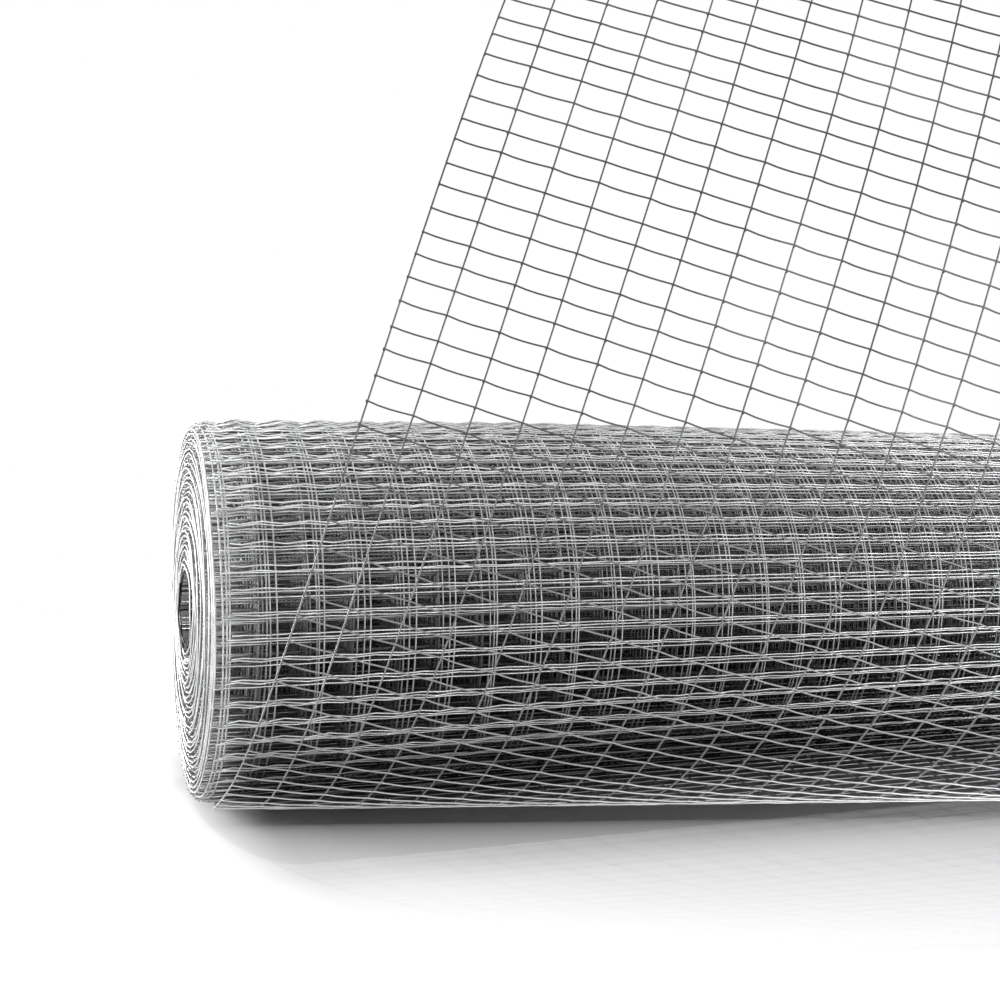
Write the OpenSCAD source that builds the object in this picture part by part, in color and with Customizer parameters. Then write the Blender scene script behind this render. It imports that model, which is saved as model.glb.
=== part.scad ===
// A roll of welded wire mesh fencing, lying on its side with its loose end drawn out and bent up.
// X runs along the roll, Z is up, and the origin is on the roll's axis at mid length.
// The loose end leaves the roll underneath, toward -Y, and bends up along a line that is skewed to the roll.

/* [Mesh] */

// Distance between the line wires, along the roll (mm)
line_spacing = 25.4; // [12:0.1:60]
// Distance between the cross wires, along the strip (mm)
cross_spacing = 12.7; // [10:0.1:60]
// Mesh openings across the strip
cells_across = 24; // [12:1:40]
// Diameter of the wire (mm)
wire_diameter = 1; // [0.6:0.05:1.6]
// Depth of a weld as a share of the wire
weld_share = 0.15; // [0.05:0.01:0.4]
// Cross wire that stands past the edge wires (mm)
stub_length = 1.5; // [0.6:0.1:4]

/* [Roll] */

// Outer diameter of the roll (mm)
roll_diameter = 230; // [180:1:320]
// Diameter of the bore (mm)
bore_diameter = 40; // [25:1:80]
// Turns that show on the ends
turns = 34; // [16:1:44]
// Depth of the groove between two turns on an end (mm)
turn_groove = 1.2; // [0.4:0.1:2]
// Outer turns that have slid along the roll
slid_turns = 4; // [2:1:8]
// Distance that the outermost turn has slid (mm)
slip_length = 10; // [4:0.5:16]

/* [Loose end] */

// Cross wires in the loose end
loose_rows = 53; // [44:1:60]
// Angle between the bend line and the roll's axis (degrees)
skew = 18; // [12:0.5:24]
// Distance from under the roll's axis to the bend line at the left edge (mm)
bend_distance = 8; // [4:0.5:30]
// Radius of the bend near the floor (mm)
bend_radius = 165; // [140:1:200]
// Angle of the bend near the floor (degrees)
bend_angle = 78; // [66:1:84]
// Radius of the rising part (mm)
rise_radius = 500; // [430:5:700]

/* [Hidden] */

// The roll
roll_radius = roll_diameter / 2;
bore_radius = bore_diameter / 2;
strip_width = cells_across * line_spacing;
roll_length = strip_width + 2 * stub_length;
turn_pitch = (roll_radius - bore_radius) / turns;
ridge_shares = [0.3, 0.7];
round_sides = 120;

// The mesh as square bars of the wire's own cross-section area, cross wires on the outer side
bar = wire_diameter * sqrt(PI) / 2;
weld = wire_diameter * weld_share;
line_lift = bar - weld;
mesh_depth = line_lift + bar;
edge = bar / 2;
strip_left = slip_length - strip_width / 2;

// Rows, measured from under the roll's axis along the strip; the first one is clear of the roll
touch = sqrt(roll_radius * roll_radius - (roll_radius - mesh_depth) * (roll_radius - mesh_depth));
first_row = ceil((touch + wire_diameter) / cross_spacing) * cross_spacing;
strip_start = first_row - cross_spacing;
last_row = first_row + (loose_rows - 1) * cross_spacing;
strip_end = last_row + stub_length;

// Flat strips between fold lines: the bend near the floor, then the rising part
bend_strips = 6;
rise_strips = 4;
strip_count = bend_strips + rise_strips;
bend_step = bend_angle / bend_strips;
bend_chord = 2 * bend_radius * sin(bend_step / 2);
sheet_reach = strip_end * cos(skew) + stub_length * sin(skew) + bar;
rise_chord = (sheet_reach - bend_distance - bend_strips * bend_chord) / rise_strips;
rise_step = 2 * asin(rise_chord / 2 / rise_radius);
function is_bend(k) = k < bend_strips;
function chord(k) = is_bend(k) ? bend_chord : rise_chord;
function slope(k) = k < 0 ? 0
    : is_bend(k) ? (k + 1 / 2) * bend_step
    : bend_angle + (k - bend_strips + 1 / 2) * rise_step;
// Half of the fold at the start of strip k
function mitre(k) = k > strip_count - 1 ? 0 : (slope(k) - slope(k - 1)) / 2;
// Start of strip k: along the flat strip, forward, and up
function along(k) = k == 0 ? bend_distance : along(k - 1) + chord(k - 1);
function forward(k) = k == 0 ? bend_distance : forward(k - 1) + chord(k - 1) * cos(slope(k - 1));
function height(k) = k == 0 ? 0 : height(k - 1) + chord(k - 1) * sin(slope(k - 1));

reach = strip_width + strip_end;
spare = 4 * wire_diameter;

function slip(t) = slip_length * max(0, 1 - (turns - 1 - t) / slid_turns);
function inner(t) = bore_radius + t * turn_pitch;

// One end of the roll in half section, from the bore outward: a ridge for each turn
function end_line(side) = [
    for (t = [0 : turns - 1])
        let (face = side * roll_length / 2 + slip(t))
        for (p = [[inner(t), face - side * turn_groove],
                  [inner(t) + ridge_shares[0] * turn_pitch, face],
                  [inner(t) + ridge_shares[1] * turn_pitch, face]]) p,
    [roll_radius, side * (roll_length / 2 - turn_groove) + slip_length]
];
function reversed(list) = [for (i = [len(list) - 1 : -1 : 0]) list[i]];

module wound_roll() {
    color("silver")
        rotate([0, 90, 0])
            rotate_extrude($fn = round_sides)
                polygon(concat(end_line(-1), reversed(end_line(1))));
}

// Whether one of count wires, spaced from zero, crosses well inside a bar from a to b
function crossed(a, b, spacing, count) =
    max(0, ceil((a + bar) / spacing)) <= min(count - 1, floor((b - bar) / spacing));

// The bars of the flat mesh between two distances from the roll along the bend's normal
module bars_between(from, to) {
    for (j = [0 : cells_across]) {
        u = j * line_spacing;
        a = max(strip_start, (from + u * sin(skew)) / cos(skew));
        b = min(strip_end, (to + u * sin(skew)) / cos(skew));
        if (crossed(a - first_row, b - first_row, cross_spacing, loose_rows)) {
            low = max(strip_start, a - spare);
            high = min(strip_end, b + spare);
            translate([u - edge, -high, line_lift])
                cube([bar, high - low, bar]);
        }
    }
    for (i = [0 : loose_rows - 1]) {
        v = first_row + i * cross_spacing;
        a = max(-stub_length, (v * cos(skew) - to) / sin(skew));
        b = min(strip_width + stub_length, (v * cos(skew) - from) / sin(skew));
        if (crossed(a, b, line_spacing, cells_across + 1)) {
            low = max(-stub_length, a - spare / sin(skew));
            high = min(strip_width + stub_length, b + spare / sin(skew));
            translate([low, -v - edge, 0])
                cube([high - low, bar, bar]);
        }
    }
}

// A block across the strip that keeps what lies between two fold lines, cut at half of each fold
module between_folds(from, to, start_half, end_half) {
    rotate([90, 0, 90])
        translate([0, 0, -reach])
            linear_extrude(2 * reach)
                polygon([[-from + spare * tan(start_half), -spare], [-to - spare * tan(end_half), -spare],
                         [-to + spare * tan(end_half), spare], [-from - spare * tan(start_half), spare]]);
}

// The flat mesh, turned so that the bend line runs along X, and cut to one strip
module flat_strip(from, to, start_half, end_half) {
    intersection() {
        rotate([0, 0, skew])
            bars_between(from, to);
        between_folds(from, to, start_half, end_half);
    }
}

// From the strip's own frame to the part's
module at_floor() {
    translate([strip_left, 0, -roll_radius])
        rotate([0, 0, -skew])
            children();
}

module bent_strip(k) {
    at_floor()
        translate([0, -forward(k), height(k)])
            rotate([-slope(k), 0, 0])
                translate([0, along(k), 0])
                    flat_strip(along(k), along(k + 1), mitre(k), mitre(k + 1));
}

// What the roll's outer turn takes up
module roll_space() {
    rotate([0, 90, 0])
        translate([0, 0, -reach])
            cylinder(h = 2 * reach, r = roll_radius, $fn = round_sides);
}

module loose_end_floor() {
    color("silver")
        difference() {
            at_floor()
                flat_strip(-strip_width, bend_distance, 0, mitre(0));
            roll_space();
        }
}

module loose_end_bend_1() {
    color("silver")
        difference() {
            bent_strip(0);
            roll_space();
        }
}

module loose_end_bend_2() {
    color("silver") bent_strip(1);
}

module loose_end_bend_3() {
    color("silver") bent_strip(2);
}

module loose_end_bend_4() {
    color("silver") bent_strip(3);
}

module loose_end_bend_5() {
    color("silver") bent_strip(4);
}

module loose_end_bend_6() {
    color("silver") bent_strip(5);
}

module loose_end_rise_1() {
    color("silver") bent_strip(bend_strips);
}

module loose_end_rise_2() {
    color("silver") bent_strip(bend_strips + 1);
}

module loose_end_rise_3() {
    color("silver") bent_strip(bend_strips + 2);
}

module loose_end_rise_4() {
    color("silver") bent_strip(bend_strips + 3);
}

wound_roll();
loose_end_floor();
loose_end_bend_1();
loose_end_bend_2();
loose_end_bend_3();
loose_end_bend_4();
loose_end_bend_5();
loose_end_bend_6();
loose_end_rise_1();
loose_end_rise_2();
loose_end_rise_3();
loose_end_rise_4();
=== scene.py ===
"""Looks of the roll of welded wire fencing: the wound turns, the loose end, floor, light and camera.

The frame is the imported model: metres, X along the roll's axis, Z up, the loose end towards -Y.
The whole strip is drawn as real wires. The strip's lengths are in millimetres, as in the part's
source, and those of the finishes, floor, lamps and camera are in metres.
"""

import math

import bmesh
import bpy
import numpy as np
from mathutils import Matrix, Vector


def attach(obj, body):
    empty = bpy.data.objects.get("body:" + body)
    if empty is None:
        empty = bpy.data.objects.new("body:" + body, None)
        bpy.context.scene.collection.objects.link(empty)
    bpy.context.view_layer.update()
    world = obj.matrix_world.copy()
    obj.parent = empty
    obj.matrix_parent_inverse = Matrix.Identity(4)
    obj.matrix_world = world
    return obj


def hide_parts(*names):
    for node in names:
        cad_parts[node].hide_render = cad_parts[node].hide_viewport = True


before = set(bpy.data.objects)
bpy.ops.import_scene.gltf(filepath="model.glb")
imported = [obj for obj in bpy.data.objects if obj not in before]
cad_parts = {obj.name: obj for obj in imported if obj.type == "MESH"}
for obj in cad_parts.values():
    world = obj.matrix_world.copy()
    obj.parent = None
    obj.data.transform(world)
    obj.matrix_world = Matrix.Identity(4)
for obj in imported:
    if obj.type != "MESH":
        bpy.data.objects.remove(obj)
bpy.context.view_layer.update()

MM = 0.001
SEED = 53
ANY_PHASE = (0, 6.3)
rng = np.random.default_rng(SEED)

# The strip, as it comes off the welding line
LINE_SPACING = 25.4
CROSS_SPACING = 12.7
CELLS_ACROSS = 24
WIRE = 1.0
STUB = 0.55
WELD_SINK = 0.15
MESH_DEPTH = 2 * WIRE - WELD_SINK
STRIP_WIDTH = CELLS_ACROSS * LINE_SPACING

# How deep each wire's middle lies under the mesh's outer face
CROSS_DEPTH = WIRE / 2
LINE_DEPTH = 1.5 * WIRE - WELD_SINK
NESTED_LINE_DEPTH = 2.4

# The roll: its size and how tightly it is wound
ROLL_RADIUS = 115.0
BORE_RADIUS = 20.0
TURNS = 34.4
TIGHT_TURNS = 3
TIGHT_PITCH = 0.6
SPIRAL_STEP = math.radians(0.5)
LOCKED_TURNS = 6
WIRES_PER_TURN = 57
BUNDLE_STEP = 1.4

# How the turns have slid along the roll, and how its ends stand
SLIP = 10.0
STRIP_LEFT = SLIP - STRIP_WIDTH / 2
SLID_TURNS = 4
SLID = 10.5
PULLED_TURNS = 0.3
PULLED_OVER = 7.4
RIM_DEPTH = 8
RIM_BACK = 2.8
RIM_TILT = 5.25
RIM_BEND = 0.3
CORE_STANDS_OUT = 6.2
TURN_ERROR = 0.6

# Where the roll is a little thinner: a neck at its near end, and a sag to the right
NECK = 0.3
NECK_LENGTH = 28
NECK_TURNS = 0.25
SAG = 0.025
SAG_START = -80.0
SAG_LENGTH = 390.0

# How unevenly the roll's cross wires lie: humps over the line wires, and wander round the roll
HUMP_PLACES = (0, 70, 260)
HUMP_SHARES = (1.6, 1.0, 0.55)
HUMP_EDGE = 0.45
HUMP_SIZES = (0.6, 1.1)
HUMP_SWING = 0.3
HUMP_RETURN = 2
CROSS_ERROR = 0.5
CROSS_WAVE = 0.7
CROSS_WAVE_RATE = 0.83
CROSS_DRIFT = 0.6
CROSS_DRIFT_LENGTH = 190

# How unevenly the roll's line wires lie
LINE_WANDER = 0.8
LINE_WANDER_RATE = 0.7
LINE_QUIVER = 0.4
LINE_QUIVER_RATE = 4.1
WOUND_ON_ANGLE = 1.2

# The loose end
LOOSE_ROWS = 54
SKEW = math.radians(18)
BEND_DISTANCE = 8.0
BEND_RADIUS = 165.0
BEND_ANGLE = math.radians(78)
RISE_RADIUS = 500.0
LOOSE_LENGTH = LOOSE_ROWS * CROSS_SPACING + STUB
JOINED_LENGTH = 90

# How unevenly the loose end's wires lie
ROW_ERROR = 0.9
ROW_SAGS = (0.3, 0.8)
ROW_SAG_SHIFT = 0.8
ROW_BULGE = 0.2
LINE_BOW = 0.3
LINE_SNAKE = 0.4
LINE_SNAKE_LENGTH = 70
LINE_SNAKE_START = 100
LOOSE_POINTS = 4

# The loose sheet's slight buckles: where they start, and how high, wide and long the two waves are
BUCKLE_SLOPE = 0.35
BUCKLE_START = 60
BUCKLE_GROWTH = 200
WIDE_BUCKLE = 1.4
WIDE_ACROSS = 83
WIDE_ALONG = 140
NARROW_BUCKLE = 0.9
NARROW_ACROSS = 130
NARROW_ALONG = 61
NARROW_PHASE = 1.0

# The drops of zinc at the loose end's welds
DROP_RADIUS = 0.62
DROP_STRETCH = 0.5
DROP_BACK = 0.35

# Line wires sit a little unevenly, because the welding heads do
SEAT_ERROR = 1.3
line_seats = np.arange(CELLS_ACROSS + 1) * LINE_SPACING
line_seats[1:-1] += rng.uniform(-SEAT_ERROR, SEAT_ERROR, CELLS_ACROSS - 1)

# Turns lie a little to the left or right of each other, and rows of the loose end near or far
turn_wander = np.concatenate((np.zeros(SLID_TURNS + 1),
                              rng.uniform(-TURN_ERROR, TURN_ERROR, int(TURNS) + 3)))
row_wander = np.concatenate(([0.0, 0.0], rng.uniform(-ROW_ERROR, ROW_ERROR, LOOSE_ROWS)))


# Shapes of the strip

def spiral_table():
    """Angle, outer radius and strip length along the spiral, from the outside in."""
    angle = np.arange(0, TURNS * 2 * math.pi, SPIRAL_STEP)
    turn = angle / (2 * math.pi)
    core = BORE_RADIUS + MESH_DEPTH
    loose_pitch = (ROLL_RADIUS - TIGHT_TURNS * TIGHT_PITCH - core) / (TURNS - TIGHT_TURNS)
    tight_part = TIGHT_PITCH * np.minimum(turn, TIGHT_TURNS)
    loose_part = loose_pitch * np.maximum(turn - TIGHT_TURNS, 0)
    radius = ROLL_RADIUS - tight_part - loose_part
    middle = radius - MESH_DEPTH / 2
    steps = np.diff(angle) * (middle[1:] + middle[:-1]) / 2
    length = np.concatenate(([0.0], np.cumsum(steps)))
    return angle, radius, length


SPIRAL_ANGLE, SPIRAL_RADIUS, SPIRAL_LENGTH = spiral_table()


def on_roll(u, angle, depth):
    """Points of the wound strip: u across it, angle along the spiral, depth under its outer face.

    The outer turns have slid along the roll one after another, the end is not quite square to the
    axis, the core stands out a little, and the roll sags slightly to the right."""
    turn = angle / (2 * math.pi)
    outside = np.interp(angle, SPIRAL_ANGLE, SPIRAL_RADIUS)
    outward = np.clip((outside - BORE_RADIUS) / (ROLL_RADIUS - RIM_DEPTH - BORE_RADIUS), 0, 1)
    rim = RIM_TILT * np.sin(angle) - RIM_BACK - RIM_BEND * np.cos(2 * angle)
    slid = rim * outward - CORE_STANDS_OUT * (1 - outward) + SLID * np.clip(1 - turn / SLID_TURNS, 0, 1)
    slid = slid + PULLED_OVER * np.clip(1 - turn / PULLED_TURNS, 0, 1) ** 2
    slid = slid + np.interp(turn, np.arange(len(turn_wander)), turn_wander)
    neck = NECK * np.exp(-np.maximum(u, 0) / NECK_LENGTH) * np.clip(turn / NECK_TURNS, 0, 1)
    radius = outside - depth - neck
    x = STRIP_LEFT + slid + u
    sunk = 1 - SAG * np.clip((x - SAG_START) / SAG_LENGTH, 0, 1)
    height = (ROLL_RADIUS - radius * np.cos(angle)) * sunk
    return np.stack((x, radius * np.sin(angle), height - ROLL_RADIUS), axis=-1)


def laid_out(u, v, depth):
    """Points of the loose end: u across it, v along it from under the axis, depth under its outer face."""
    along = u * math.cos(SKEW) + v * math.sin(SKEW)
    out = -u * math.sin(SKEW) + v * math.cos(SKEW)
    bend = np.clip((out - BEND_DISTANCE) / BEND_RADIUS, 0, BEND_ANGLE)
    rise = np.maximum(out - BEND_DISTANCE - BEND_RADIUS * BEND_ANGLE, 0) / RISE_RADIUS
    lean = bend + rise
    reach = np.minimum(out, BEND_DISTANCE) + BEND_RADIUS * np.sin(bend)
    reach = reach + RISE_RADIUS * (np.sin(lean) - np.sin(bend))
    height = BEND_RADIUS * (1 - np.cos(bend)) + RISE_RADIUS * (np.cos(bend) - np.cos(lean))
    reach = reach - depth * np.sin(lean)
    height = height + depth * np.cos(lean)
    joined = (SLID - RIM_BACK - RIM_BEND + PULLED_OVER) * np.clip(1 - v / JOINED_LENGTH, 0, 1) ** 2
    x = STRIP_LEFT + joined + along * math.cos(SKEW) - reach * math.sin(SKEW)
    y = -along * math.sin(SKEW) - reach * math.cos(SKEW)
    return np.stack((x, y, height - ROLL_RADIUS), axis=-1)


def swell(u, v):
    """The loose sheet's slight buckles, none where it lies on the floor."""
    free = np.clip((v - BUCKLE_SLOPE * u - BUCKLE_START) / BUCKLE_GROWTH, 0, 1)
    wide_wave = WIDE_BUCKLE * np.sin(u / WIDE_ACROSS + v / WIDE_ALONG)
    narrow_wave = NARROW_BUCKLE * np.sin(v / NARROW_ALONG - u / NARROW_ACROSS + NARROW_PHASE)
    return free * (wide_wave + narrow_wave)


def across(points_per_cell):
    """Places across the strip, from stub to stub, with one at each line wire, and how far each place
    is along its cell."""
    share = np.arange(points_per_cell) / points_per_cell
    u = (line_seats[:-1, None] + np.diff(line_seats)[:, None] * share).ravel()
    u = np.concatenate(([-STUB], u, [line_seats[-1], line_seats[-1] + STUB]))
    cell = np.concatenate(([0.0], np.tile(share, CELLS_ACROSS), [0.0, 0.0]))
    return u, cell


# Paths of the wires

def cross_wire_angles():
    """Where the wound cross wires lie. Those of the outer turns have locked beside the wires of the turn
    over them, in bundles, and deeper down they are a mesh apart along the spiral."""
    step = (2 * math.pi + BUNDLE_STEP / ROLL_RADIUS) / WIRES_PER_TURN
    locked = np.arange(0, LOCKED_TURNS * 2 * math.pi, step)
    start = np.interp(locked[-1], SPIRAL_ANGLE, SPIRAL_LENGTH) + CROSS_SPACING
    deeper = np.arange(start, SPIRAL_LENGTH[-1], CROSS_SPACING)
    return np.concatenate((locked, np.interp(deeper, SPIRAL_LENGTH, SPIRAL_ANGLE)))


def wound_cross_wires(first_turn, last_turn, points_per_cell):
    """Paths of the cross wires of some turns. They hump up to each line wire and drop past it, most at
    the near end, and lie flat where the roll rests."""
    u, cell = across(points_per_cell)
    fade = np.interp(u, HUMP_PLACES, HUMP_SHARES)
    hump = -np.sin(2 * math.pi * cell) - HUMP_EDGE * np.sin(4 * math.pi * cell)
    paths = []
    for angle in cross_wire_angles():
        radius = np.interp(angle, SPIRAL_ANGLE, SPIRAL_RADIUS)
        slip = rng.uniform(-CROSS_ERROR, CROSS_ERROR) + CROSS_WAVE * math.sin(CROSS_WAVE_RATE * angle)
        size = rng.uniform(*HUMP_SIZES)
        swing = rng.uniform(-HUMP_SWING, HUMP_SWING)
        drift = rng.uniform(-CROSS_DRIFT, CROSS_DRIFT)
        if first_turn <= angle / (2 * math.pi) < last_turn:
            size *= min(1, HUMP_RETURN * (1 - math.cos(angle)))
            sideways = slip + swing * hump * fade + drift * np.sin(u / CROSS_DRIFT_LENGTH + angle)
            around = np.maximum(angle + sideways / radius, 0)
            paths.append(on_roll(u, around, CROSS_DEPTH - size * hump * fade))
    return paths


def wound_line_wires(first_turn, last_turn, step):
    """Paths of the line wires of some turns, with a point each step of an angle."""
    count = int(round((last_turn - first_turn) * 2 * math.pi / step))
    angle = np.linspace(first_turn, last_turn, count + 1) * 2 * math.pi
    wound_on = np.clip(angle / WOUND_ON_ANGLE, 0, 1)
    depth = LINE_DEPTH + (NESTED_LINE_DEPTH - LINE_DEPTH) * wound_on
    paths = []
    for seat in line_seats:
        wander = LINE_WANDER * np.sin(angle * LINE_WANDER_RATE + rng.uniform(*ANY_PHASE))
        wander = wander + LINE_QUIVER * np.sin(angle * LINE_QUIVER_RATE + rng.uniform(*ANY_PHASE))
        paths.append(on_roll(seat + wander * wound_on, angle, depth))
    return paths


def loose_cross_wires():
    """Paths of the loose end's cross wires: each span sags a little between its welds."""
    u, cell = across(LOOSE_POINTS)
    sag = np.sin(math.pi * cell ** ROW_SAG_SHIFT)
    paths = []
    for row in range(1, LOOSE_ROWS + 1):
        v = row * CROSS_SPACING + row_wander[row] - rng.uniform(*ROW_SAGS) * sag
        paths.append(laid_out(u, v, CROSS_DEPTH - ROW_BULGE * sag + swell(u, v)))
    return paths


def loose_line_wires():
    """Paths of the loose end's line wires, bowed a little between the cross wires."""
    v = np.arange(LOOSE_ROWS * LOOSE_POINTS + 1) * (CROSS_SPACING / LOOSE_POINTS)
    v = np.concatenate((v, [LOOSE_LENGTH]))
    bow = np.sin(math.pi * (v / CROSS_SPACING % 1))
    paths = []
    for seat in line_seats:
        snake = LINE_SNAKE * np.sin(v / LINE_SNAKE_LENGTH + rng.uniform(*ANY_PHASE))
        u = seat + snake * np.clip(v / LINE_SNAKE_START, 0, 1)
        paths.append(laid_out(u, v, LINE_DEPTH + LINE_BOW * bow + swell(u, v)))
    return paths


# Making the pieces

def made_piece(name, mesh, finish):
    """A finished piece from its mesh, riding on the one body."""
    mesh.materials.clear()
    mesh.materials.append(finish)
    mesh.shade_smooth()
    piece = bpy.data.objects.new(name, mesh)
    bpy.context.collection.objects.link(piece)
    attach(piece, "root")
    return piece


def drawn_wires(name, paths, facets, finish):
    """One piece of many wires, each drawn along its path (millimetres) with closed ends.

    A curve's bevel has 4 facets, and 2 more for each step of its resolution."""
    curve = bpy.data.curves.new(name, "CURVE")
    curve.dimensions = "3D"
    curve.bevel_depth = WIRE / 2 * MM
    curve.bevel_resolution = (facets - 4) // 2
    curve.use_fill_caps = True
    for path in paths:
        spline = curve.splines.new("POLY")
        spline.points.add(len(path) - 1)
        spline.points.foreach_set("co", np.column_stack((path * MM, np.ones(len(path)))).ravel())
    drawing = bpy.data.objects.new(name + "_drawing", curve)
    bpy.context.collection.objects.link(drawing)
    drawn = drawing.evaluated_get(bpy.context.evaluated_depsgraph_get())
    mesh = bpy.data.meshes.new_from_object(drawn)
    bpy.data.objects.remove(drawing)
    bpy.data.curves.remove(curve)
    mesh.name = name
    return made_piece(name, mesh, finish)


def weld_spots(name, finish):
    """The drops of zinc, drawn out along the line wires, where the loose end's wires cross."""
    bm = bmesh.new()
    for row in range(1, LOOSE_ROWS + 1):
        v = np.full(len(line_seats), row * CROSS_SPACING + row_wander[row])
        depth = WIRE - WELD_SINK / 2 + swell(line_seats, v)
        middle = laid_out(line_seats, v, depth)
        ahead = laid_out(line_seats, v + 1, depth)
        for place, toward in zip(middle, ahead):
            lengthwise = Vector(toward - place).normalized()
            drop = bmesh.ops.create_icosphere(bm, subdivisions=1, radius=DROP_RADIUS * WIRE * MM)["verts"]
            for vert in drop:
                vert.co += lengthwise * vert.co.dot(lengthwise) * DROP_STRETCH
            bmesh.ops.translate(bm, verts=drop, vec=Vector(place * MM) - lengthwise * DROP_BACK * MM)
    mesh = bpy.data.meshes.new(name)
    bm.to_mesh(mesh)
    bm.free()
    return made_piece(name, mesh, finish)


# Steps that the finishes share

def feed(tree, slot, value):
    """Gives an input a plain number, or joins another socket to it."""
    if isinstance(value, (int, float)):
        slot.default_value = value
    else:
        tree.links.new(value, slot)


def math_step(tree, operation, *values):
    """One Math node; each value is a socket to join or a plain number."""
    step = tree.nodes.new("ShaderNodeMath")
    step.operation = operation
    for slot, value in zip(step.inputs, values):
        feed(tree, slot, value)
    return step.outputs[0]


def ramp_over(tree, value, start, end, low=0.0, high=1.0):
    """A straight change from low to high as a value goes from start to end."""
    ramp = tree.nodes.new("ShaderNodeMapRange")
    feed(tree, ramp.inputs["Value"], value)
    feed(tree, ramp.inputs["From Min"], start)
    feed(tree, ramp.inputs["From Max"], end)
    feed(tree, ramp.inputs["To Min"], low)
    feed(tree, ramp.inputs["To Max"], high)
    return ramp.outputs["Result"]


def spread_over(tree, value, start, end):
    """A smooth 0 to 1 as a value goes from start to end."""
    spread = ramp_over(tree, value, start, end)
    spread.node.interpolation_type = "SMOOTHSTEP"
    return spread


def object_place(tree):
    """Where a point of the piece is, in metres."""
    return tree.nodes.new("ShaderNodeTexCoord").outputs["Object"]


def object_sides(tree):
    """The X, Y and Z of a point of the piece, in metres."""
    sides = tree.nodes.new("ShaderNodeSeparateXYZ")
    tree.links.new(object_place(tree), sides.inputs["Vector"])
    return sides.outputs


def mask_group(name, given_names, put_names):
    """An empty node group of plain values. Returns it with its input and its output node."""
    group = bpy.data.node_groups.new(name, "ShaderNodeTree")
    for given_name in given_names:
        group.interface.new_socket(given_name, in_out="INPUT", socket_type="NodeSocketFloat")
    for put_name in put_names:
        group.interface.new_socket(put_name, in_out="OUTPUT", socket_type="NodeSocketFloat")
    return group, group.nodes.new("NodeGroupInput"), group.nodes.new("NodeGroupOutput")


def placed_group(tree, group, **values):
    """A node group in a material, with its own values."""
    placed = tree.nodes.new("ShaderNodeGroup")
    placed.node_tree = group
    for name, value in values.items():
        placed.inputs[name].default_value = value
    return placed


# Finishes: greys of the zinc, and darker greys of painted shade laid over it
WOUND_DULL = (0.54, 0.545, 0.55, 1)
WOUND_BRIGHT = (0.8, 0.805, 0.81, 1)
# Painted shade on the roll: darker greys laid between its turns, underneath it and in its bore
CROSS_SHADE_GREY = (0.13, 0.13, 0.133, 1)
LINE_SHADE_GREY = (0.12, 0.12, 0.123, 1)
UNDERSIDE_SHADE_GREY = (0.06, 0.06, 0.062, 1)
BORE_SHADE_GREY = (0.02, 0.02, 0.021, 1)
LOOSE_DULL = (0.76, 0.765, 0.77, 1)
LOOSE_BRIGHT = (0.94, 0.945, 0.95, 1)
# Painted shade on the loose end: greys laid over its bend, its near end and its upright part
BEND_SHADE_GREY = (0.4, 0.402, 0.405, 1)
NEAR_END_SHADE_GREY = (0.18, 0.18, 0.183, 1)
STANDING_SHADE_GREY = (0.11, 0.11, 0.113, 1)
WELD_DULL = (0.06, 0.06, 0.062, 1)
WELD_BRIGHT = (0.16, 0.162, 0.165, 1)

# How the zinc coat looks close by
ZINC_METAL = 0.55
CLOUD_SCALE = 90.0
GRAIN_SCALE = 900.0
CLOUD_DETAIL = 3.0
GRAIN_DETAIL = 2.0
DULL_CLOUD = 0.32
BRIGHT_CLOUD = 0.68
GRAIN_STRENGTH = 0.15
GRAIN_HEIGHT = 0.0002
CROSS_ROUGHNESS = (0.26, 0.5)
LINE_ROUGHNESS = (0.45, 0.7)
LOOSE_ROUGHNESS = (0.36, 0.58)
WELD_ROUGHNESS = (0.4, 0.6)

# Where the painted shade and painted light on the roll's wires change, in metres: along the axis from its
# middle, from the axis, and up
UNSHADED_END = 0.308
SHADED_INSIDE = 0.281
BORE_STARTS = 0.027
BORE_WALL = 0.022
LIT_TOP_FROM = -0.02
LIT_TOP_TO = 0.06
UNDERSIDE_SHADE_STARTS = -0.05
UNDERSIDE_SHADE_FULL = -0.1
UNDERSIDE_SHADE_SHARE = 0.92

# Where the painted shade on the loose end changes, in metres
BENT_FROM = -0.106
BENT_TO = -0.065
NEAR_END_FROM = 0.1
NEAR_END_TO = -0.2
NEAR_END_SHARE = 0.4
STANDING_SHADE_FROM = -0.03
STANDING_SHADE_TO = 0.14
PATCH_SCALE = 14.0
PATCH_FROM = 0.3
PATCH_TO = 0.55
PATCH_LEAST = 0.6


def zinc_bloom():
    """Cloudy spangle and fine grain of a zinc coat, as masks."""
    group, given, put = mask_group("zinc_bloom", ("Cloud Scale", "Grain Scale"), ("Bloom", "Grain"))
    place = object_place(group)
    noises = (("Cloud Scale", CLOUD_DETAIL, "Bloom"), ("Grain Scale", GRAIN_DETAIL, "Grain"))
    for scale, detail, result in noises:
        noise = group.nodes.new("ShaderNodeTexNoise")
        noise.inputs["Detail"].default_value = detail
        group.links.new(place, noise.inputs["Vector"])
        group.links.new(given.outputs[scale], noise.inputs["Scale"])
        group.links.new(noise.outputs["Fac"], put.inputs[result])
    return group


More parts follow.
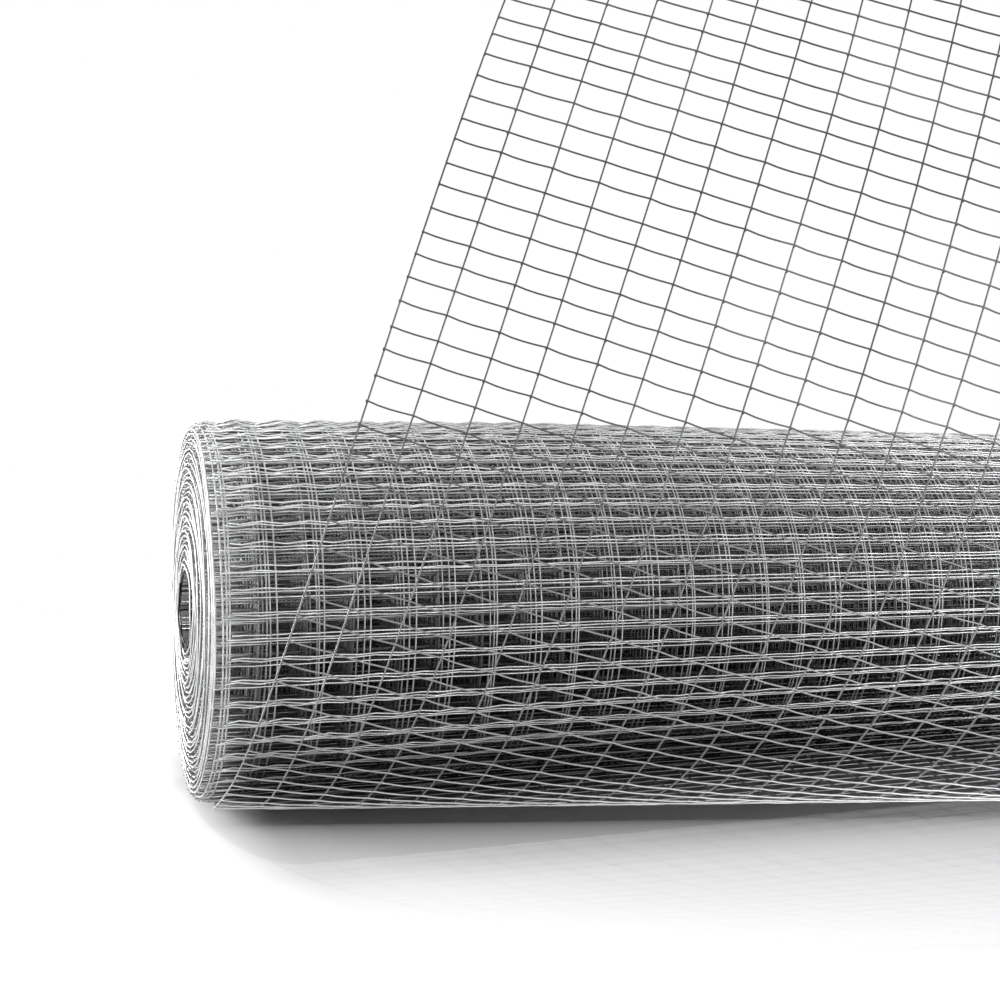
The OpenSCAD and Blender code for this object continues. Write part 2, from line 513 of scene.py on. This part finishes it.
def wound_painted_shade():
    """Masks of painted shade on the roll's wires: between the turns, away from the ends and less on the
    upper side, which is left lighter as painted light from above; underneath; and in the bore.

    The height is first put back to what it was before the roll sagged."""
    group, given, put = mask_group("wound_painted_shade", ("Unshaded Radius", "Shaded Radius", "Lit Top Share"),
                                   ("Shade Between Turns", "Shade Underneath", "Shade In Bore"))
    x, y, z = object_sides(group)
    sunk = ramp_over(group, x, SAG_START * MM, (SAG_START + SAG_LENGTH) * MM, 1, 1 - SAG)
    above_floor = math_step(group, "ADD", z, ROLL_RADIUS * MM)
    round_height = math_step(group, "DIVIDE", above_floor, sunk)
    round_z = math_step(group, "SUBTRACT", round_height, ROLL_RADIUS * MM)
    squares = [math_step(group, "MULTIPLY", side, side) for side in (y, round_z)]
    radius = math_step(group, "SQRT", math_step(group, "ADD", *squares))
    from_middle = math_step(group, "ABSOLUTE", math_step(group, "SUBTRACT", x, SLIP * MM))
    # Painted shade between the turns: the wires darken deeper in the roll, except near its ends
    inside = spread_over(group, from_middle, UNSHADED_END, SHADED_INSIDE)
    deep = spread_over(group, radius, given.outputs["Unshaded Radius"], given.outputs["Shaded Radius"])
    # Painted shade in the bore
    in_bore = spread_over(group, radius, BORE_STARTS, BORE_WALL)
    # Painted light: the upper side of the wires gets less painted shade, as if lit from above, mostly on the
    # line wires
    upper_side = spread_over(group, z, LIT_TOP_FROM, LIT_TOP_TO)
    lit_top = math_step(group, "MULTIPLY", upper_side, given.outputs["Lit Top Share"])
    sheltered = math_step(group, "MAXIMUM", inside, in_bore)
    shade_share = math_step(group, "MULTIPLY", sheltered, math_step(group, "SUBTRACT", 1, lit_top))
    # Painted shade underneath the roll, darker towards the floor
    under = math_step(group, "MULTIPLY", spread_over(group, z, UNDERSIDE_SHADE_STARTS, UNDERSIDE_SHADE_FULL), UNDERSIDE_SHADE_SHARE)
    group.links.new(math_step(group, "MULTIPLY", deep, shade_share), put.inputs["Shade Between Turns"])
    group.links.new(math_step(group, "MULTIPLY", under, inside), put.inputs["Shade Underneath"])
    group.links.new(in_bore, put.inputs["Shade In Bore"])
    return group


def zinc_finish(name, bloom_group, dull, bright, roughness):
    """A zinc-coated steel finish, cloudy between a dull and a bright grey, with a range of roughness."""
    finish = bpy.data.materials.new(name)
    finish.use_nodes = True
    tree = finish.node_tree
    coat = tree.nodes["Principled BSDF"]
    coat.inputs["Metallic"].default_value = ZINC_METAL
    bloom = placed_group(tree, bloom_group, **{"Cloud Scale": CLOUD_SCALE, "Grain Scale": GRAIN_SCALE})
    shade = tree.nodes.new("ShaderNodeValToRGB")
    dull_stop, bright_stop = shade.color_ramp.elements
    dull_stop.position = DULL_CLOUD
    dull_stop.color = dull
    bright_stop.position = BRIGHT_CLOUD
    bright_stop.color = bright
    tree.links.new(bloom.outputs["Bloom"], shade.inputs["Fac"])
    tree.links.new(shade.outputs["Color"], coat.inputs["Base Color"])
    tree.links.new(ramp_over(tree, bloom.outputs["Grain"], 0, 1, *roughness), coat.inputs["Roughness"])
    bump = tree.nodes.new("ShaderNodeBump")
    bump.inputs["Strength"].default_value = GRAIN_STRENGTH
    bump.inputs["Distance"].default_value = GRAIN_HEIGHT
    tree.links.new(bloom.outputs["Grain"], bump.inputs["Height"])
    tree.links.new(bump.outputs["Normal"], coat.inputs["Normal"])
    return finish


def paint_shade(finish, mask, shade_grey):
    """Puts a darker grey of painted shade over the finish where the mask is 1."""
    tree = finish.node_tree
    coat = tree.nodes["Principled BSDF"]
    unshaded = coat.inputs["Base Color"].links[0].from_socket
    mix = tree.nodes.new("ShaderNodeMix")
    mix.data_type = "RGBA"
    unshaded_in, shade_in = [slot for slot in mix.inputs if slot.type == "RGBA"]
    mixed = [slot for slot in mix.outputs if slot.type == "RGBA"][0]
    shade_in.default_value = shade_grey
    tree.links.new(mask, mix.inputs["Factor"])
    tree.links.new(unshaded, unshaded_in)
    tree.links.new(mixed, coat.inputs["Base Color"])


def shade_roll_wires(zinc, shade_group, unshaded_depth, shaded_depth, shade_grey, lit_top_share):
    """Paints shade on the roll's zinc: it stays bright outside and at the ends, with painted shade between
    the turns, underneath and in the bore.
    """
    tree = zinc.node_tree
    shade_masks = placed_group(tree, shade_group, **{"Unshaded Radius": (ROLL_RADIUS - unshaded_depth) * MM,
                                             "Shaded Radius": (ROLL_RADIUS - shaded_depth) * MM,
                                             "Lit Top Share": lit_top_share})
    paint_shade(zinc, shade_masks.outputs["Shade Between Turns"], shade_grey)
    paint_shade(zinc, shade_masks.outputs["Shade Underneath"], UNDERSIDE_SHADE_GREY)
    paint_shade(zinc, shade_masks.outputs["Shade In Bore"], BORE_SHADE_GREY)
    # Painted shade also dims the shine: where the shade underneath or in the bore is full, the finish is all
    # metal, so its reflections take the dark grey
    darkest_shade = math_step(tree, "MAXIMUM", shade_masks.outputs["Shade Underneath"], shade_masks.outputs["Shade In Bore"])
    shaded_metal_share = math_step(tree, "MULTIPLY_ADD", darkest_shade, 1 - ZINC_METAL, ZINC_METAL)
    tree.links.new(shaded_metal_share, tree.nodes["Principled BSDF"].inputs["Metallic"])


def shade_loose_end_wires(zinc):
    """Paints shade on the loose end's zinc: bright where it lies on the floor, with painted shade in the
    bend and towards the near end, and dark painted shade, patchy at random, where it stands up.
    """
    tree = zinc.node_tree
    sides = object_sides(tree)
    patches = tree.nodes.new("ShaderNodeTexNoise")
    patches.inputs["Scale"].default_value = PATCH_SCALE
    tree.links.new(object_place(tree), patches.inputs["Vector"])
    patchy = ramp_over(tree, patches.outputs["Fac"], PATCH_FROM, PATCH_TO, PATCH_LEAST, 1.0)
    # Painted shade: darker in the bend, towards the near end, and darkest, in random patches, where the
    # sheet stands up
    bend_shade = spread_over(tree, sides["Z"], BENT_FROM, BENT_TO)
    near_end_shade = spread_over(tree, sides["X"], NEAR_END_FROM, NEAR_END_TO)
    standing_shade = spread_over(tree, sides["Z"], STANDING_SHADE_FROM, STANDING_SHADE_TO)
    paint_shade(zinc, bend_shade, BEND_SHADE_GREY)
    paint_shade(zinc, math_step(tree, "MULTIPLY", near_end_shade, NEAR_END_SHARE), NEAR_END_SHADE_GREY)
    paint_shade(zinc, math_step(tree, "MULTIPLY", standing_shade, patchy), STANDING_SHADE_GREY)


bloom_group = zinc_bloom()
shade_group = wound_painted_shade()
cross_zinc = zinc_finish("wound_cross_wire", bloom_group, WOUND_DULL, WOUND_BRIGHT, CROSS_ROUGHNESS)
line_zinc = zinc_finish("wound_line_wire", bloom_group, WOUND_DULL, WOUND_BRIGHT, LINE_ROUGHNESS)
loose_zinc = zinc_finish("loose_wire", bloom_group, LOOSE_DULL, LOOSE_BRIGHT, LOOSE_ROUGHNESS)
weld_zinc = zinc_finish("weld_zinc", bloom_group, WELD_DULL, WELD_BRIGHT, WELD_ROUGHNESS)
# Painted shade on the roll's wires, with painted light on their upper side, most of it on the line wires
shade_roll_wires(cross_zinc, shade_group, unshaded_depth=1.3, shaded_depth=6.0,
            shade_grey=CROSS_SHADE_GREY, lit_top_share=0.1)
shade_roll_wires(line_zinc, shade_group, unshaded_depth=-0.5, shaded_depth=6.5,
            shade_grey=LINE_SHADE_GREY, lit_top_share=0.8)
shade_loose_end_wires(loose_zinc)

# Pieces of the roll: the outer turns are drawn more finely than those that they hide
OUTER_CROSS_TURNS = 2
NEXT_CROSS_TURNS = 6
OUTER_LINE_TURNS = 5
OUTER_POINTS = 4
NEXT_POINTS = 3
CORE_POINTS = 1
OUTER_STEP = math.radians(3.4)
CORE_STEP = math.radians(12)
ROUND_FACETS = 6
PLAIN_FACETS = 4

drawn_wires("outer_turns_cross_wires", wound_cross_wires(0, OUTER_CROSS_TURNS, OUTER_POINTS),
            ROUND_FACETS, cross_zinc)
drawn_wires("next_turns_cross_wires", wound_cross_wires(OUTER_CROSS_TURNS, NEXT_CROSS_TURNS, NEXT_POINTS),
            PLAIN_FACETS, cross_zinc)
drawn_wires("core_turns_cross_wires", wound_cross_wires(NEXT_CROSS_TURNS, TURNS, CORE_POINTS),
            PLAIN_FACETS, cross_zinc)
outer_lines = drawn_wires("outer_turns_line_wires", wound_line_wires(0, OUTER_LINE_TURNS, OUTER_STEP),
                          ROUND_FACETS, line_zinc)
drawn_wires("core_turns_line_wires", wound_line_wires(OUTER_LINE_TURNS, TURNS, CORE_STEP),
            PLAIN_FACETS, line_zinc)
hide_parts("wound_roll")

# Pieces of the loose end
end_cross = drawn_wires("loose_end_cross_wires", loose_cross_wires(), ROUND_FACETS, loose_zinc)
drawn_wires("loose_end_line_wires", loose_line_wires(), ROUND_FACETS, loose_zinc)
weld_spots("loose_end_welds", weld_zinc)
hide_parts(*[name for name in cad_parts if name.startswith("loose_end")])


# Floor, light and camera

FLOOR_RADIUS = 1.1
FLOOR_SEGMENTS = 96
FLOOR_GAP = 0.0004
FLOOR_GREY = (0.58, 0.58, 0.58, 1)
FLOOR_ROUGHNESS = 0.9
WHITE = (1, 1, 1, 1)

# Where the floor's grey fades to its painted white glow, in metres: ahead of the roll, behind it and past
# its ends
AHEAD_FROM = -0.062
AHEAD_TO = -0.4
AHEAD_CURVE = 0.6
BEHIND_FROM = 0.05
BEHIND_TO = 0.3
GREY_MIDDLE = 0.06
GREY_HALF = 0.322
WHITE_HALF = 0.385

SURROUND_LEVEL = 0.02
LOW = -0.05


def seen_by_eye(tree):
    """1 where the camera sees a surface itself, in a shine or through glass, and 0 where it only
    lights others."""
    light_path = tree.nodes.new("ShaderNodeLightPath").outputs
    plain_or_shine = math_step(tree, "MAXIMUM", light_path["Is Camera Ray"], light_path["Is Glossy Ray"])
    return math_step(tree, "MAXIMUM", plain_or_shine, light_path["Is Transmission Ray"])


def floor_paper():
    """Pale paper that keeps its grey and the lamps' shadows near the roll, and glows white to the camera
    further out: painted light, whose fade towards the roll and the loose end shapes how their shadow fades.
    """
    paper = bpy.data.materials.new("floor_paper")
    paper.use_nodes = True
    tree = paper.node_tree
    sheet = tree.nodes["Principled BSDF"]
    sheet.inputs["Base Color"].default_value = FLOOR_GREY
    sheet.inputs["Roughness"].default_value = FLOOR_ROUGHNESS
    sheet.inputs["Specular IOR Level"].default_value = 0.0
    sheet.inputs["Emission Color"].default_value = WHITE
    sides = object_sides(tree)
    past_end = math_step(tree, "SUBTRACT", sides["X"], STRIP_LEFT * MM)
    skewed_x = math_step(tree, "MULTIPLY", past_end, math.sin(SKEW))
    skewed_y = math_step(tree, "MULTIPLY", sides["Y"], math.cos(SKEW))
    reach = math_step(tree, "ADD", skewed_x, skewed_y)
    ahead = math_step(tree, "POWER", ramp_over(tree, reach, AHEAD_FROM, AHEAD_TO), AHEAD_CURVE)
    in_front = math_step(tree, "SUBTRACT", 1, ahead)
    behind = spread_over(tree, sides["Y"], BEHIND_TO, BEHIND_FROM)
    from_middle = math_step(tree, "ABSOLUTE", math_step(tree, "SUBTRACT", sides["X"], GREY_MIDDLE))
    between_ends = spread_over(tree, from_middle, WHITE_HALF, GREY_HALF)
    near_axis = math_step(tree, "MULTIPLY", in_front, behind)
    grey = math_step(tree, "MULTIPLY", near_axis, between_ends)
    # Painted light: outside the grey zone the floor glows white to the camera and in shines
    white_out = math_step(tree, "SUBTRACT", 1, grey)
    lift = math_step(tree, "MULTIPLY", seen_by_eye(tree), white_out)
    tree.links.new(lift, sheet.inputs["Emission Strength"])
    return paper


def studio_floor():
    """A round pale floor just under the roll. It ends before the low lamps, which would light it far
    too brightly."""
    bm = bmesh.new()
    bmesh.ops.create_circle(bm, cap_ends=True, segments=FLOOR_SEGMENTS, radius=FLOOR_RADIUS)
    bmesh.ops.translate(bm, verts=bm.verts, vec=(0, 0, -ROLL_RADIUS * MM - FLOOR_GAP))
    mesh = bpy.data.meshes.new("floor")
    bm.to_mesh(mesh)
    bm.free()
    mesh.materials.append(floor_paper())
    floor = bpy.data.objects.new("floor", mesh)
    bpy.context.collection.objects.link(floor)


def white_surround(level):
    """A world that looks white, and lights the object at its own level."""
    world = bpy.data.worlds.new("white_surround")
    bpy.context.scene.world = world
    world.use_nodes = True
    tree = world.node_tree
    ground = tree.nodes["Background"]
    ground.inputs["Color"].default_value = WHITE
    strength = ramp_over(tree, seen_by_eye(tree), 0, 1, level, 1.0)
    tree.links.new(strength, ground.inputs["Strength"])


def lamp(name, place, target, size, power):
    """A square soft box that faces a point."""
    light = bpy.data.lights.new(name, "AREA")
    light.shape = "SQUARE"
    light.size = size
    light.energy = power
    box = bpy.data.objects.new(name, light)
    box.location = place
    box.rotation_euler = (Vector(target) - Vector(place)).to_track_quat("-Z", "Y").to_euler()
    bpy.context.collection.objects.link(box)


studio_floor()
white_surround(SURROUND_LEVEL)
lamp("back_light", place=(0.1, 1.3, 2.3), target=(0, -0.1, 0), size=0.5, power=20)
lamp("small_back_light", place=(-0.7, 0.75, 2.35), target=(0, -0.1, 0), size=0.025, power=13)
lamp("top_light", place=(-0.2, 0.5, 2.2), target=(0, 0, 0), size=0.6, power=2)
lamp("end_light", place=(-1.25, 1.15, 0.14), target=(-0.3, 0, 0), size=0.5, power=30)
lamp("front_light", place=(0.3, -2.4, LOW), target=(0, 0, 0), size=0.12, power=15)
lamp("right_light", place=(1.6, -1.6, LOW), target=(0, 0, 0), size=0.12, power=22)

camera_data = bpy.data.cameras.new("camera")
camera_data.sensor_width = 36
camera_data.lens = 54.99
camera_data.shift_y = -0.0410
camera = bpy.data.objects.new("camera", camera_data)
camera.location = (-0.4532, -0.9260, 0.0910)
camera.rotation_euler = (math.radians(90), 0, math.radians(-21.007))
bpy.context.collection.objects.link(camera)
bpy.context.scene.camera = camera

bpy.context.scene.view_settings.view_transform = "Standard"
